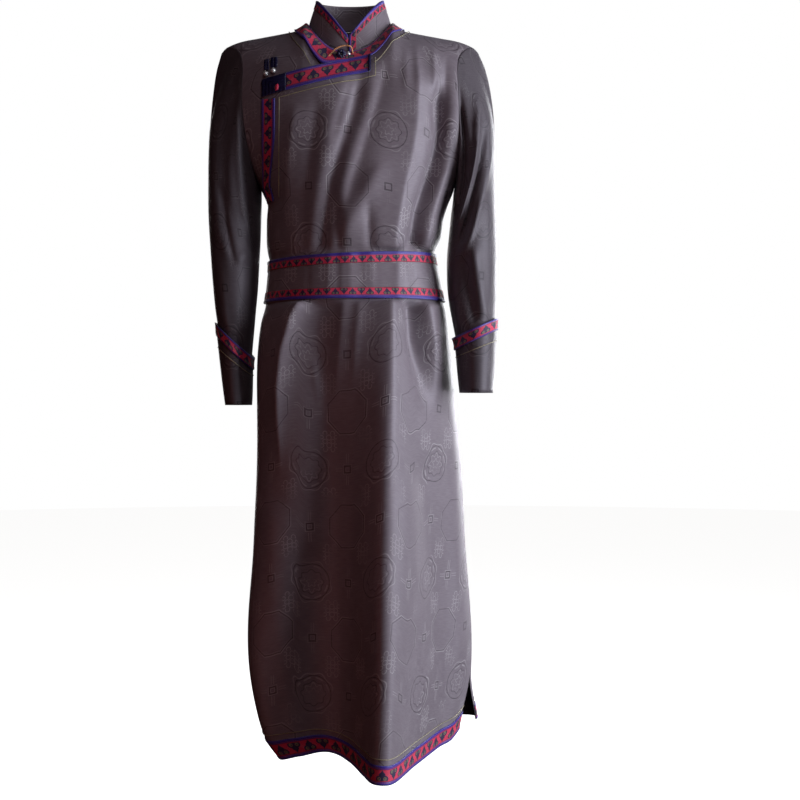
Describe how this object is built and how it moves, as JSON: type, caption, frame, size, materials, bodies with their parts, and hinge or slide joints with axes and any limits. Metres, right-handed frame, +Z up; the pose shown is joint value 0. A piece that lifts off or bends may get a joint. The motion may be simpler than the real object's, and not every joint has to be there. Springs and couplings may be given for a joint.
{
  "type": "mongolian deel robe",
  "caption": "Long belted wrap robe with a stand collar, slanted breast closure, set-in sleeves with cuffs, and ribbon trims, in worn hollow form.",
  "frame": {"origin": "base of the neck, midway between the shoulder seams' inner ends, where the wearer's shoulders hold the robe", "axes": "+Z up, front faces -Y, the wearer's left is at +X"},
  "size_m": [0.4892, 0.3186, 1.2891],
  "materials": {
    "damask": "grey-mauve silk satin damask with a tone-on-tone traditional pattern",
    "ribbon": "red woven ribbon with navy and gold-green curls, bound in royal blue",
    "binding": "navy satin binding",
    "silver": "polished white metal balls",
    "gold_cord": "twisted gold-orange cord"
  },
  "bodies": {
    "root": {"outer_front": "damask", "inner_front": "damask", "back": "damask", "sleeve_left": "damask", "sleeve_right": "damask", "cuff_left": "damask", "cuff_right": "damask", "collar": "damask", "belt": "damask", "collar_trim": "ribbon", "neck_trim": "ribbon", "chest_band": "ribbon", "side_band": "ribbon", "cuff_trim_left": "ribbon", "cuff_trim_right": "ribbon", "belt_trim_top": "ribbon", "belt_trim_foot": "ribbon", "hem_trim_front": "ribbon", "hem_trim_back": "ribbon", "corner_knot": "binding", "corner_tab_1": "binding", "corner_tab_2": "binding", "neck_knot": "binding", "corner_ball_1": "silver", "corner_ball_2": "silver", "neck_bead": "silver", "neck_loop": "gold_cord"}
  },
  "joints": []
}
